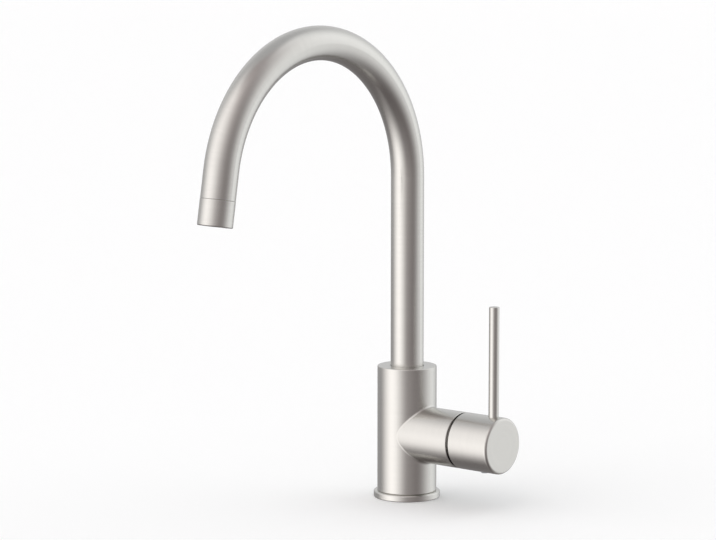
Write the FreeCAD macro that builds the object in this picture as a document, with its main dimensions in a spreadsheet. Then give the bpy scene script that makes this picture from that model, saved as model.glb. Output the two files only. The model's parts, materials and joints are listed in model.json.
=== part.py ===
import FreeCAD, Part
import os
import re
import Sketcher

Vector = FreeCAD.Vector
UP = Vector(0, 0, 1)
RIGHT = Vector(1, 0, 0)
BACK = Vector(0, 1, 0)

# Driving sizes: alias, value in millimetres or degrees, meaning.
SIZES = [
    ("tube_od", "25.4", "spout tube, outside diameter"),
    ("tube_wall", "1.25", "spout tube, wall"),
    ("tube_insert", "8", "spout tube, length inside the body"),
    ("riser", "146.1", "straight tube from the body's top to the bend"),
    ("bend_radius", "104.7", "spout bend, centreline radius"),
    ("bend_angle", "170", "spout bend, angle turned through"),
    ("outlet_straight", "20.25", "straight tube after the bend"),
    ("handle_height", "50.4", "handle axis, height above the deck"),
    ("housing_wall", "4", "side housing, from the cartridge to the outside"),
    ("housing_cover", "2.65", "side housing, length past the cartridge nut"),
    ("housing_blend", "1.6", "fillet where the housing leaves the barrel"),
    ("barrel_step", "1.3", "barrel, radius greater than the side housing's"),
    ("barrel_edge", "0.8", "barrel, rounding of its top edge"),
    ("base_step", "2.8", "base ring, radius greater than the barrel's"),
    ("base_height", "5", "base ring, height of its top face above the deck"),
    ("base_edge", "1.2", "base ring, rounding of its top edge"),
    ("spigot_step", "3.8", "barrel's spigot, radius smaller than the barrel's"),
    ("spigot_lift", "1", "barrel's spigot, height of its end above the deck"),
    ("gasket_proud", "0.1", "gasket, height below the base ring"),
    ("gasket_groove", "1.6", "gasket, depth of its groove"),
    ("gasket_width", "3.6", "gasket, radial width"),
    ("stud_thread", "6.8", "fixing stud, tapping diameter"),
    ("stud_depth", "16", "fixing stud, thread depth"),
    ("stud_edge", "5", "fixing stud, axis to the spigot's edge"),
    ("hose_thread", "9", "hose inlets, tapping diameter"),
    ("hose_depth", "13", "hose inlets, thread depth"),
    ("inlet_port", "5.5", "inlet passages, diameter"),
    ("inlet_rise", "5", "inlet ports, height above the handle axis"),
    ("inlet_pitch", "16", "inlet passages, distance between them"),
    ("inlet_offset", "4", "inlet passages, from the barrel's axis toward the handle"),
    ("outlet_port", "6.4", "outlet passage, diameter"),
    ("outlet_drop", "7", "outlet port, depth below the handle axis"),
    ("outlet_offset", "8", "outlet passage, from the barrel's axis away from the handle"),
    ("floor_wall", "3", "wall between spout socket and cartridge chamber"),
    ("plenum_web", "3.05", "metal between the inlet ports and the spout socket"),
    ("plenum_height", "3.2", "water space below the spout root"),
    ("land_width", "2", "spout root, lands between its grooves"),
    ("glide_width", "4.5", "glide ring grooves, width"),
    ("glide_depth", "1.3", "glide ring grooves, depth"),
    ("glide_split", "1", "glide rings, width of the split"),
    ("catch_width", "3.4", "retaining screw groove, width"),
    ("catch_depth", "2", "retaining screw groove, depth"),
    ("ring_section", "2.1", "spout o-rings, section diameter"),
    ("ring_width", "2.8", "spout o-ring grooves, width"),
    ("root_wall", "2.25", "spout root, wall at its spigot"),
    ("root_grip", "12", "spout root and outlet fitting, length inside the tube"),
    ("fitting_step", "1", "outlet fitting, bore radius smaller than the spout root's"),
    ("screw_od", "5", "set screws, thread diameter"),
    ("screw_socket", "2.5", "set screws, hexagon socket across flats"),
    ("socket_depth", "3", "set screws, depth of the hexagon socket"),
    ("screw_sink", "1", "retaining screw, depth below the barrel's face"),
    ("screw_length", "8", "hub set screw, length"),
    ("screw_inset", "5", "hub set screw, axis to the stem's end"),
    ("plug_od", "5.8", "set screw plug, diameter"),
    ("plug_depth", "4", "set screw plug, depth in the hub"),
    ("plug_proud", "0.8", "set screw plug, height above the hub"),
    ("cartridge_od", "35", "cartridge, outside diameter"),
    ("cartridge_wall", "1.9", "cartridge shell, wall"),
    ("cartridge_base", "4", "cartridge base, thickness"),
    ("peg_od", "2.8", "cartridge pegs, diameter"),
    ("peg_length", "2", "cartridge pegs, length"),
    ("peg_drop", "4", "cartridge pegs, depth below the handle axis"),
    ("peg_edge", "5", "cartridge pegs, distance from the chamber's wall"),
    ("peg_room", "0.5", "cartridge pegs, room at the bottom of their holes"),
    ("seal_proud", "0.3", "port seals, height above the cartridge base"),
    ("seal_height", "1.8", "port seals, height"),
    ("seal_width", "1.6", "port seals, radial width"),
    ("disc_thick", "3.5", "ceramic discs, thickness"),
    ("disc_film", "0.05", "ceramic discs, water film between them"),
    ("disc_margin", "1.5", "moving disc, margin to the shell at either end"),
    ("carrier_height", "8", "disc carrier, height"),
    ("turret_flange", "2.5", "turret, flange thickness"),
    ("turret_height", "13.8", "turret, overall height"),
    ("turret_ring", "1.3", "turret o-ring, section diameter"),
    ("pivot_rise", "6.3", "stem pivot, height above the turret's foot"),
    ("pin_od", "3", "stem pin, diameter"),
    ("stem_width", "8", "stem, side of its square"),
    ("stem_cover", "12", "stem, distance of its end from the hub's face"),
    ("stem_throw", "8", "stem, from its pivot to its tip"),
    ("stem_tip", "5", "stem, diameter of its tip"),
    ("stem_neck", "3.4", "stem, thickness of its neck"),
    ("shell_roof", "5.8", "cartridge shell, roof above the turret's flange"),
    ("neck_step", "2.5", "cartridge shell, width of the nut's seat"),
    ("neck_wall", "2", "cartridge shell, wall of its neck"),
    ("neck_height", "4.5", "cartridge shell, height of its neck"),
    ("nut_step", "1.7", "cartridge nut, thread radius past the cartridge's"),
    ("nut_height", "8", "cartridge nut, height"),
    ("nut_relief", "1", "cartridge nut, run-out of its thread below the nut"),
    ("notch_width", "4", "cartridge nut, width of its notches"),
    ("notch_depth", "2.5", "cartridge nut, depth of its notches"),
    ("dome_wall", "1.2", "cartridge dome, wall"),
    ("dome_gap", "0.6", "cartridge dome, clearance inside the hub"),
    ("handle_gap", "2", "open seam between housing and hub"),
    ("hub_length", "36.25", "handle hub, length"),
    ("hub_edge", "2.2", "handle hub, rounding of its outer edge"),
    ("hub_clearance", "0.3", "handle hub, clearance of its hollow round the housing"),
    ("lift_angle", "25", "lever lift from shut to full flow"),
    ("lever_od", "7.8", "pin lever, diameter"),
    ("lever_rise", "104.8", "pin lever, height of its top above the handle axis"),
    ("lever_setback", "9.1", "pin lever, axis to the hub's face"),
    ("lever_sink", "1", "pin lever, depth of its seat in the hub"),
    ("lever_thread", "5", "pin lever, thread diameter"),
    ("lever_grip", "10", "pin lever, thread length"),
    ("seam_gap", "0.2", "open seam between tube and outlet sleeve"),
    ("sleeve_step", "0.1", "outlet sleeve, radius greater than the tube's"),
    ("sleeve_length", "19", "outlet sleeve, length"),
    ("sleeve_edge", "0.8", "outlet sleeve, rounding of its rim"),
    ("sleeve_lip", "1.5", "outlet sleeve, thickness of its lip"),
    ("lip_width", "0.8", "outlet sleeve, width of its lip"),
    ("thread_step", "1.25", "outlet thread, radius smaller than the tube's bore"),
    ("thread_grip", "8", "outlet thread, length"),
    ("washer_thick", "1.6", "outlet washer, thickness"),
    ("washer_width", "2.3", "outlet washer, radial width"),
    ("jet_thick", "1.6", "jet plate, thickness"),
    ("jet_hole", "1.2", "jet plate, hole diameter"),
    ("aerator_wall", "1.2", "aerator insert, wall"),
    ("comb_thick", "3", "aerator honeycomb, thickness"),
    ("comb_web", "0.5", "aerator honeycomb, web between its holes"),
    ("screen_thick", "0.4", "aerator screen, thickness"),
    ("socket_gap", "0.3", "spout socket, radial gap round the tube"),
    ("running_gap", "0.05", "radial gap of running, threaded and brazed fits"),
    ("seat_gap", "0.1", "gap between seated pieces"),
    ("edge_break", "0.4", "small machined chamfers"),
    ("overrun", "1", "cuts, length past the face that they open on"),
]

# Sizes that follow. Heights are above the deck, stations along the handle are from the cartridge
# chamber's floor, and stations along the outlet are from the tube's end.
LAYOUT = [
    ("tube_radius", "tube_od / 2"),
    ("tube_bore", "tube_radius - tube_wall"),
    ("socket_radius", "tube_radius + socket_gap"),
    ("root_bore", "tube_bore - root_wall"),
    ("housing_radius", "cartridge_od / 2 + housing_wall"),
    ("barrel_radius", "housing_radius + barrel_step"),
    ("base_radius", "barrel_radius + base_step"),
    ("spigot_radius", "barrel_radius - spigot_step"),
    ("gasket_middle", "(base_radius + spigot_radius) / 2"),
    ("gasket_inside", "gasket_middle - gasket_width / 2"),
    ("gasket_outside", "gasket_middle + gasket_width / 2"),
    ("inlet_height", "handle_height + inlet_rise"),
    ("outlet_height", "handle_height - outlet_drop"),
    ("plenum_floor", "inlet_height + inlet_port / 2 + plenum_web"),
    ("root_foot", "plenum_floor + plenum_height"),
    ("lower_glide_foot", "root_foot + land_width"),
    ("lower_ring_foot", "lower_glide_foot + glide_width + land_width"),
    ("upper_ring_foot", "lower_ring_foot + ring_width + land_width"),
    ("catch_foot", "upper_ring_foot + ring_width + land_width"),
    ("upper_glide_foot", "catch_foot + catch_width + land_width"),
    ("tube_foot", "upper_glide_foot + glide_width + land_width"),
    ("barrel_top", "tube_foot + tube_insert"),
    ("catch_height", "catch_foot + catch_width / 2"),
    ("glide_floor", "tube_radius - glide_depth"),
    ("catch_floor", "tube_radius - catch_depth"),
    ("ring_floor", "socket_radius - ring_section - running_gap"),
    ("bend_start", "barrel_top + riser"),
    ("bend_end_reach", "bend_radius * (1 - cos(bend_angle))"),
    ("bend_end_height", "bend_start + bend_radius * sin(bend_angle)"),
    ("seam_reach", "bend_end_reach + outlet_straight * sin(bend_angle)"),
    ("seam_height", "bend_end_height + outlet_straight * cos(bend_angle)"),
    ("floor_reach", "socket_radius + floor_wall"),
    ("cartridge_radius", "cartridge_od / 2"),
    ("chamber_radius", "cartridge_radius + seat_gap"),
    ("cavity_radius", "cartridge_radius - cartridge_wall"),
    ("neck_radius", "cartridge_radius - neck_step"),
    ("turret_radius", "neck_radius - neck_wall"),
    ("nut_radius", "cartridge_radius + nut_step"),
    ("peg_spread", "chamber_radius - peg_edge"),
    ("base_top", "seal_proud + cartridge_base"),
    ("fixed_disc_foot", "base_top + disc_film"),
    ("moving_disc_foot", "fixed_disc_foot + disc_thick + disc_film"),
    ("carrier_foot", "moving_disc_foot + disc_thick"),
    ("carrier_top", "carrier_foot + carrier_height"),
    ("turret_foot", "carrier_top + 3 * seat_gap"),
    ("turret_top", "turret_foot + turret_height"),
    ("flange_top", "turret_foot + turret_flange"),
    ("shoulder", "flange_top + seat_gap + shell_roof"),
    ("neck_top", "shoulder + neck_height"),
    ("nut_top", "shoulder + nut_height"),
    ("chamber_depth", "nut_top + housing_cover"),
    ("housing_reach", "floor_reach + chamber_depth"),
    ("turret_ring_station", "neck_top - 2 * turret_ring"),
    ("turret_ring_floor", "turret_radius - turret_ring"),
    ("pivot", "turret_foot + pivot_rise"),
    ("stem_half", "stem_width / 2"),
    ("tip_station", "pivot - stem_throw"),
    ("disc_travel", "stem_throw * sin(lift_angle)"),
    ("disc_radius", "cavity_radius - disc_travel / 2 - disc_margin"),
    ("hub_foot", "chamber_depth + handle_gap"),
    ("hub_top", "hub_foot + hub_length"),
    ("hollow_radius", "sqrt(housing_radius ^ 2 + (chamber_depth - pivot) ^ 2) + hub_clearance"),
    ("hollow_rim", "sqrt(hollow_radius ^ 2 - (hub_foot - pivot) ^ 2)"),
    ("rim_bevel", "(housing_radius - hollow_rim) * 0.4"),
    ("dome_radius", "hollow_radius - dome_gap"),
    ("dome_skirt", "nut_radius - 2 * seat_gap"),
    ("dome_swing", "dome_radius * sin(lift_angle) + stem_half * cos(lift_angle)"),
    ("dome_opening", "sqrt(dome_swing ^ 2 + stem_half ^ 2) + 4 * seat_gap"),
    ("stem_end", "hub_top - stem_cover"),
    ("lever_axis", "hub_top - lever_setback"),
    ("lever_seat", "housing_radius - lever_sink"),
    ("screw_axis", "stem_end - screw_inset"),
    ("sleeve_radius", "tube_radius + sleeve_step"),
    ("sleeve_foot", "seam_gap + sleeve_length"),
    ("lip_station", "sleeve_foot - sleeve_lip"),
    ("thread_radius", "tube_bore - thread_step"),
    ("nozzle_radius", "thread_radius - seat_gap"),
    ("jet_station", "thread_grip + washer_thick"),
    ("insert_station", "jet_station + jet_thick"),
    ("comb_station", "lip_station - comb_thick"),
    ("comb_radius", "nozzle_radius - aerator_wall"),
    ("comb_pitch", "(comb_radius + comb_web) / 4"),
    ("comb_hole", "comb_pitch - comb_web"),
]

DERIVED = {alias for alias, _ in LAYOUT}
NAMED = DERIVED | {alias for alias, _, _ in SIZES}


def spelled(expression):
    """The expression with every size written as its sheet and alias."""
    def with_sheet(match):
        word = match.group(0)
        if word not in NAMED:
            return word
        return ("Layout." if word in DERIVED else "Sizes.") + word
    return re.sub(r"[a-z_]+", with_sheet, expression)


doc = FreeCAD.newDocument("KitchenFaucet")
sizes = doc.addObject("Spreadsheet::Sheet", "Sizes")
for row, (alias, value, meaning) in enumerate(SIZES, start=1):
    sizes.set(f"A{row}", meaning)
    sizes.set(f"B{row}", value)
    sizes.setAlias(f"B{row}", alias)
layout = doc.addObject("Spreadsheet::Sheet", "Layout")
for row, (alias, _) in enumerate(LAYOUT, start=1):
    layout.set(f"A{row}", alias.replace("_", " "))
    layout.setAlias(f"B{row}", alias)
for row, (_, expression) in enumerate(LAYOUT, start=1):
    layout.set(f"B{row}", "=" + spelled(expression))
doc.recompute()


def number(expression):
    """The expression's value."""
    return float(sizes.evalExpression(spelled(expression)))


def bind(thing, setting, expression):
    """Ties one setting of an object to an expression of the sizes."""
    thing.setExpression(setting, spelled(expression))


def on_plane(feature, body, role):
    """Attaches a sketch or a primitive to one of the body's own origin planes."""
    plane = next(item for item in body.Origin.OriginFeatures if item.Role == role)
    feature.AttachmentSupport = (plane, [""])
    feature.MapMode = "FlatFace"


def moved_toward(point, other, distance):
    """The corner moved by a distance toward another one that is level with it or plumb to it."""
    steps = [number(end) - number(start) for start, end in zip(point, other)]
    side = 0 if abs(steps[0]) > abs(steps[1]) else 1
    sign = "+" if steps[side] > 0 else "-"
    moved = list(point)
    moved[side] = f"({point[side]}) {sign} ({distance})"
    return tuple(moved)


def corner_runs(corners):
    """Each point of an outline, with the radius and turn of the arc that arrives there.

    A corner is (x, y), (x, y, "round", size), (x, y, "chamfer", size) or (x, y, "arc", radius, turn),
    where the turn is +1 if the arc from the corner before bends to the left and -1 if to the right.
    """
    runs = []
    for index, corner in enumerate(corners):
        point = corner[:2]
        style = corner[2] if len(corner) > 2 else "sharp"
        if style == "sharp":
            runs.append((point, None, 0))
        elif style == "arc":
            runs.append((point, corner[3], corner[4]))
        else:
            before = corners[index - 1][:2]
            after = corners[(index + 1) % len(corners)][:2]
            arrive = [number(end) - number(start) for start, end in zip(before, point)]
            leave = [number(end) - number(start) for start, end in zip(point, after)]
            turn = 1 if arrive[0] * leave[1] > arrive[1] * leave[0] else -1
            radius = corner[3] if style == "round" else None
            runs.append((moved_toward(point, before, corner[3]), None, 0))
            runs.append((moved_toward(point, after, corner[3]), radius, turn))
    return runs


def arc_between(start, end, radius, turn):
    """The shorter arc between two points that bends left for turn +1 and right for turn -1."""
    chord = end - start
    across = Vector(-chord.y, chord.x, 0).normalize() * turn
    centre = (start + end) * 0.5 + across * (radius ** 2 - chord.Length ** 2 / 4) ** 0.5
    middle = centre - across * radius
    return Part.Arc(start, middle, end) if turn > 0 else Part.Arc(end, middle, start)


def draw(body, name, role, corners, closed=True):
    """A sketch through the corners, with every point and radius bound to the sizes."""
    sketch = body.newObject("Sketcher::SketchObject", name)
    on_plane(sketch, body, role)
    runs = corner_runs(corners)
    points = [Vector(number(point[0]), number(point[1]), 0) for point, _, _ in runs]
    edges = []
    for index in range(0 if closed else 1, len(runs)):
        start, end = points[index - 1], points[index]
        _, radius, turn = runs[index]
        if radius is None:
            edge = sketch.addGeometry(Part.LineSegment(start, end), False)
        else:
            edge = sketch.addGeometry(arc_between(start, end, number(radius), turn), False)
            rule = Sketcher.Constraint("Radius", edge, number(radius))
            sketch.renameConstraint(sketch.addConstraint(rule), f"radius_{index}")
            bind(sketch, f"Constraints.radius_{index}", radius)
        runs_on = (sketch.Geometry[edge].StartPoint - start).Length < 1e-6
        edges.append((edge, 1, 2) if runs_on else (edge, 2, 1))
    for index in range(0 if closed else 1, len(edges)):
        before, here = edges[index - 1], edges[index]
        sketch.addConstraint(Sketcher.Constraint("Coincident", before[0], before[2], here[0], here[1]))
    ends = [(edge, tail) for edge, _, tail in edges]
    if not closed:
        ends.insert(0, edges[0][:2])
    for index, (edge, end) in enumerate(ends):
        for axis, expression in zip("XY", runs[index][0]):
            label = f"{axis.lower()}_{index}"
            rule = Sketcher.Constraint(f"Distance{axis}", -1, 1, edge, end, number(expression))
            sketch.renameConstraint(sketch.addConstraint(rule), label)
            bind(sketch, f"Constraints.{label}", expression)
    return sketch


def circles(body, name, role, height, radii):
    """A sketch of concentric circles on the sketch's vertical axis at that height."""
    sketch = body.newObject("Sketcher::SketchObject", name)
    on_plane(sketch, body, role)
    for radius in radii:
        centre = Vector(0, number(height), 0)
        edge = sketch.addGeometry(Part.Circle(centre, UP, number(radius)), False)
        sketch.addConstraint(Sketcher.Constraint("PointOnObject", edge, 3, -2))
        for kind, ends, expression in (("Radius", (edge,), radius),
                                       ("DistanceY", (-1, 1, edge, 3), height)):
            mark = sketch.addConstraint(Sketcher.Constraint(kind, *ends, number(expression)))
            bind(sketch, f"Constraints[{mark}]", expression)
    return sketch


def new_body(label):
    """An empty named body."""
    body = doc.addObject("PartDesign::Body", label)
    body.Label = label
    return body


def turned(label, corners):
    """A body turned about its own Z axis from a profile of (radius, height) corners."""
    body = new_body(label)
    lathe_work = draw(body, label + "_profile", "XZ_Plane", corners)
    lathe = body.newObject("PartDesign::Revolution", label + "_turned")
    lathe.Profile = lathe_work
    lathe.ReferenceAxis = (lathe_work, ["V_Axis"])
    lathe.Angle = 360
    doc.recompute()
    return body


def plate(label, radius, foot, top):
    """A plain round plate or rod."""
    return turned(label, [("0", foot), (radius, foot), (radius, top), ("0", top)])


def bush(label, inside, outside, foot, top):
    """A plain ring."""
    return turned(label, [(inside, foot), (outside, foot), (outside, top), (inside, top)])


def remove(body, kind, name, settings, start, axis):
    """Cuts a primitive from the body, given its settings, its start point and its long axis."""
    before = body.Shape.Volume
    cut = body.newObject("PartDesign::Subtractive" + kind, name)
    on_plane(cut, body, "XY_Plane")
    cut.AttachmentOffset = FreeCAD.Placement(Vector(), FreeCAD.Rotation(UP, axis))
    for setting, expression in settings.items():
        bind(cut, setting, expression)
    for letter, expression in zip("xyz", start):
        bind(cut, f"AttachmentOffset.Base.{letter}", expression)
    doc.recompute()
    if body.Shape.Volume > before - 1e-3:
        raise RuntimeError(f"{name} cuts nothing from {body.Label}")
    return cut


def drill(body, name, radius, depth, start, axis):
    """A round hole from the start point along the axis."""
    return remove(body, "Cylinder", name, {"Radius": radius, "Height": depth}, start, axis)


def hexagon(body, name, mouth):
    """A hexagon socket along Z, open at the mouth."""
    settings = {"Circumradius": "screw_socket / sqrt(3)", "Height": "socket_depth + overrun"}
    return remove(body, "Prism", name, settings, ("0", "0", f"{mouth} - socket_depth"), UP)


def box_cut(body, name, low, high):
    """A rectangular cut between two opposite corners."""
    spans = [f"({end}) - ({start})" for start, end in zip(low, high)]
    return remove(body, "Box", name, dict(zip(("Length", "Width", "Height"), spans)), low, UP)


def repeat(body, cut, count):
    """Repeats a cut evenly round the body's Z axis."""
    profile = next(item for item in body.Group if item.isDerivedFrom("Sketcher::SketchObject"))
    ring = body.newObject("PartDesign::PolarPattern", cut.Name + "_ring")
    ring.Originals = [cut]
    ring.Axis = (profile, ["V_Axis"])
    ring.Angle = 360
    ring.Occurrences = count
    body.Tip = ring
    doc.recompute()


def round_ring(label, ring_radius, section):
    """A ring of round section, square to its own Z axis."""
    ring = doc.addObject("Part::Torus", label)
    bind(ring, "Radius1", ring_radius)
    bind(ring, "Radius2", f"({section}) / 2")
    return ring


def group(label, pieces):
    """Separate solids under one name."""
    together = doc.addObject("Part::Compound", label)
    together.Links = pieces
    return together


def place(piece, axis, angle, **base):
    """Places a piece: a turn about an axis, then a base point bound to the sizes."""
    piece.Placement = FreeCAD.Placement(Vector(), FreeCAD.Rotation(axis, angle))
    for letter, expression in base.items():
        bind(piece, f"Placement.Base.{letter}", expression)
    return piece


def in_handle(piece, station="0", height="handle_height"):
    """Places a handle piece: its own Z runs out from the chamber's floor and its own X points up."""
    return place(piece, Vector(1, 0, 1), 180, x=f"floor_reach + {station}", z=height)


def in_outlet(piece):
    """Places an outlet piece: its own Z runs with the flow from the tube's end."""
    place(piece, RIGHT, number("bend_angle"), y="-seam_reach", z="seam_height")
    bind(piece, "Placement.Rotation.Angle", "bend_angle")
    return piece


def mixer_body():
    """Barrel with its side housing, spout socket, cartridge chamber and waterways."""
    body = turned("mixer_body", [
        ("0", "spigot_lift"), ("spigot_radius", "spigot_lift", "chamfer", "edge_break"),
        ("spigot_radius", "base_height"), ("barrel_radius", "base_height", "chamfer", "edge_break"),
        ("barrel_radius", "barrel_top", "round", "barrel_edge"), ("0", "barrel_top")])
    housing = body.newObject("PartDesign::Pad", "housing")
    housing.Profile = circles(body, "housing_circle", "YZ_Plane", "handle_height", ["housing_radius"])
    bind(housing, "Length", "housing_reach")
    doc.recompute()
    soften_housing(body, housing)
    thread = "handle_height + nut_radius + running_gap"
    run_out = "floor_reach + shoulder - nut_relief"
    mouth = "housing_reach + overrun"
    profile = draw(body, "chamber_profile", "XZ_Plane", [
        ("floor_reach", "handle_height"), (mouth, "handle_height"), (mouth, thread), (run_out, thread),
        (run_out, "handle_height + chamber_radius"),
        ("floor_reach", "handle_height + chamber_radius")])
    chamber = body.newObject("PartDesign::Groove", "chamber")
    chamber.Profile = profile
    chamber.ReferenceAxis = (profile, ["Edge2"])
    chamber.Angle = 360
    doc.recompute()
    drill_waterways(body)
    return body


def soften_housing(body, housing):
    """Fillets the line where the housing leaves the barrel, and bevels the housing's rim."""
    sought = {round(number(radius), 4) for radius in ("barrel_radius", "housing_radius")}
    crease = []
    for place_number, edge in enumerate(housing.Shape.Edges, start=1):
        faces = housing.Shape.ancestorsOfType(edge, Part.Face)
        radii = {round(face.Surface.Radius, 4) for face in faces if hasattr(face.Surface, "Radius")}
        if radii == sought:
            crease.append(f"Edge{place_number}")
    blend = body.newObject("PartDesign::Fillet", "housing_fillet")
    blend.Base = (housing, crease)
    bind(blend, "Radius", "housing_blend")
    doc.recompute()
    rim = [f"Edge{place_number}" for place_number, edge in enumerate(blend.Shape.Edges, start=1)
           if abs(edge.BoundBox.XMin - number("housing_reach")) < 1e-4]
    bevel = body.newObject("PartDesign::Chamfer", "housing_bevel")
    bevel.Base = (blend, rim)
    bind(bevel, "Size", "rim_bevel")
    doc.recompute()


def drill_waterways(body):
    """Spout socket, inlet and outlet passages, stud hole, retaining screw hole and peg holes."""
    drill(body, "spout_socket", "socket_radius", "barrel_top", ("0", "0", "plenum_floor"), UP)
    for side, sign in (("hot", "-"), ("cold", "")):
        across = f"{sign}inlet_pitch / 2"
        foot = ("inlet_offset", across, "spigot_lift")
        drill(body, f"{side}_hose_thread", "hose_thread / 2", "hose_depth", foot, UP)
        drill(body, f"{side}_riser", "inlet_port / 2", "inlet_height + inlet_port / 2 - spigot_lift",
              foot, UP)
        drill(body, f"{side}_port", "inlet_port / 2", "floor_reach - inlet_offset + overrun",
              ("inlet_offset", across, "inlet_height"), RIGHT)
        drill(body, f"{side}_peg_hole", "peg_od / 2 + seat_gap", "peg_length + 2 * peg_room",
              ("floor_reach - peg_length - peg_room", f"{sign}peg_spread",
               "handle_height - peg_drop"), RIGHT)
    turn = ("-outlet_offset", "0", "outlet_height")
    drill(body, "outlet_port", "outlet_port / 2", "floor_reach + outlet_offset + overrun", turn, RIGHT)
    drill(body, "outlet_riser", "outlet_port / 2", "plenum_floor - outlet_height + overrun", turn, UP)
    drill(body, "stud_hole", "stud_thread / 2", "stud_depth",
          ("stud_edge - spigot_radius", "0", "spigot_lift"), UP)
    drill(body, "retaining_screw_hole", "screw_od / 2", "barrel_radius + overrun",
          ("0", "0", "catch_height"), BACK)


def base_pieces():
    """Base ring under the barrel, and the gasket in the ring's underside."""
    groove_roof = "gasket_proud + gasket_groove"
    ring = turned("base_ring", [
        ("spigot_radius + seat_gap", "gasket_proud"), ("gasket_inside - seat_gap", "gasket_proud"),
        ("gasket_inside - seat_gap", groove_roof), ("gasket_outside + seat_gap", groove_roof),
        ("gasket_outside + seat_gap", "gasket_proud"),
        ("base_radius", "gasket_proud", "chamfer", "edge_break"),
        ("base_radius", "base_height", "round", "base_edge"), ("spigot_radius + seat_gap", "base_height")])
    return [ring, bush("base_gasket", "gasket_inside", "gasket_outside", "0", groove_roof)]


def spout_tube():
    """Bent tube from inside the barrel to the outlet seam."""
    body = new_body("spout_tube")
    path = draw(body, "spout_path", "YZ_Plane", [
        ("0", "tube_foot"), ("0", "bend_start"),
        ("-bend_end_reach", "bend_end_height", "arc", "bend_radius", 1),
        ("-seam_reach", "seam_height")], closed=False)
    section = circles(body, "spout_section", "XY_Plane", "0", ["tube_radius", "tube_bore"])
    bind(section, "AttachmentOffset.Base.z", "tube_foot")
    sweep = body.newObject("PartDesign::AdditivePipe", "spout_sweep")
    sweep.Profile = section
    sweep.Spine = path
    doc.recompute()
    return body


def spout_root_pieces():
    """Root brazed into the tube's foot, its glide rings and o-rings, and the screw that retains it."""
    grooves = [
        ("lower_glide_foot", "glide_width", "glide_floor"),
        ("lower_ring_foot", "ring_width", "ring_floor"),
        ("upper_ring_foot", "ring_width", "ring_floor"),
        ("catch_foot", "catch_width", "catch_floor"),
        ("upper_glide_foot", "glide_width", "glide_floor")]
    spigot = "tube_bore - running_gap"
    corners = [("root_bore", "root_foot"), ("tube_radius", "root_foot", "chamfer", "edge_break")]
    for foot, width, floor in grooves:
        top = f"{foot} + {width}"
        corners += [("tube_radius", foot), (floor, foot), (floor, top), ("tube_radius", top)]
    spigot_top = "tube_foot + root_grip"
    corners += [("tube_radius", "tube_foot"), (spigot, "tube_foot"),
                (spigot, spigot_top, "chamfer", "edge_break"), ("root_bore", spigot_top)]
    pieces = [turned("spout_root", corners), retaining_screw()]
    for level in ("upper", "lower"):
        foot = f"{level}_glide_foot"
        ring = bush(f"{level}_glide_ring", "glide_floor + running_gap", "socket_radius - running_gap",
                    f"{foot} + seat_gap", f"{foot} + glide_width - seat_gap")
        box_cut(ring, f"{level}_glide_split", ("0", "-glide_split / 2", foot),
                ("tube_od", "glide_split / 2", f"{foot} + glide_width"))
        pieces.append(ring)
    rings = []
    for level in ("upper", "lower"):
        ring = round_ring(f"{level}_o_ring", "ring_floor + (ring_section + running_gap) / 2",
                          "ring_section")
        rings.append(place(ring, UP, 0, z=f"{level}_ring_foot + ring_width / 2"))
    return pieces + [group("spout_o_rings", rings)]


def retaining_screw():
    """Dog point set screw at the back of the barrel, its point in the root's groove."""
    point = "catch_width / 2 - 3 * seat_gap"
    point_end = "socket_radius - catch_floor"
    shank = "screw_od / 2 - running_gap"
    head = "barrel_radius - screw_sink - catch_floor - 3 * seat_gap"
    screw = turned("spout_retaining_screw", [
        ("0", "0"), (point, "0", "chamfer", "edge_break"), (point, point_end), (shank, point_end),
        (shank, head, "chamfer", "edge_break"), ("0", head)])
    hexagon(screw, "retaining_screw_socket", head)
    return place(screw, RIGHT, -90, y="catch_floor + 3 * seat_gap", z="catch_height")


def outlet_pieces():
    """Threaded fitting in the tube's end, the outlet sleeve, and the aerator that the sleeve holds."""
    bore = "root_bore - fitting_step"
    plug = "tube_bore - running_gap"
    fitting = turned("outlet_fitting", [
        (bore, "-root_grip"), (plug, "-root_grip", "chamfer", "edge_break"), (plug, "0"),
        ("thread_radius", "0"), ("thread_radius", "thread_grip", "chamfer", "edge_break"),
        (bore, "thread_grip")])
    thread = "thread_radius + running_gap"
    lip = "thread_radius - lip_width"
    sleeve = turned("outlet_sleeve", [
        (thread, "seam_gap"), ("sleeve_radius", "seam_gap", "chamfer", "edge_break / 4"),
        ("sleeve_radius", "sleeve_foot", "round", "sleeve_edge"),
        (lip, "sleeve_foot", "round", "edge_break"), (lip, "lip_station"), (thread, "lip_station")])
    washer = bush("outlet_washer", "nozzle_radius - washer_width", "nozzle_radius",
                  "thread_grip", "jet_station")
    jet = plate("jet_plate", "nozzle_radius", "jet_station", "insert_station")
    punch_ring(jet, "jet", "jet_hole", 2, 12, "jet_station", "jet_thick")
    insert = turned("aerator_insert", [
        ("0", "comb_station"), ("comb_radius", "comb_station"), ("comb_radius", "insert_station"),
        ("nozzle_radius", "insert_station"), ("nozzle_radius", "lip_station"), ("0", "lip_station")])
    screen_foot = "comb_station - screen_thick"
    screen = plate("aerator_screen", "comb_radius - seat_gap", screen_foot, "comb_station")
    for piece, hole, foot, depth in ((insert, "comb_hole", "comb_station", "comb_thick"),
                                     (screen, "comb_hole / 2", screen_foot, "screen_thick")):
        drill(piece, f"{piece.Label}_middle", f"{hole} / 2", f"{depth} + 2 * overrun",
              ("0", "0", f"{foot} - overrun"), UP)
        for ring in (1, 2, 3):
            punch_ring(piece, f"{piece.Label}_{ring}", hole, ring, 6 * ring, foot, depth)
    return [in_outlet(piece) for piece in (fitting, sleeve, washer, jet, insert, screen)]


def punch_ring(body, name, diameter, ring, count, foot, depth):
    """A ring of round holes through a plate, that many comb pitches from its middle."""
    start = (f"comb_pitch * {ring}", "0", f"{foot} - overrun")
    hole = drill(body, f"{name}_hole", f"{diameter} / 2", f"{depth} + 2 * overrun", start, UP)
    repeat(body, hole, count)


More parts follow.
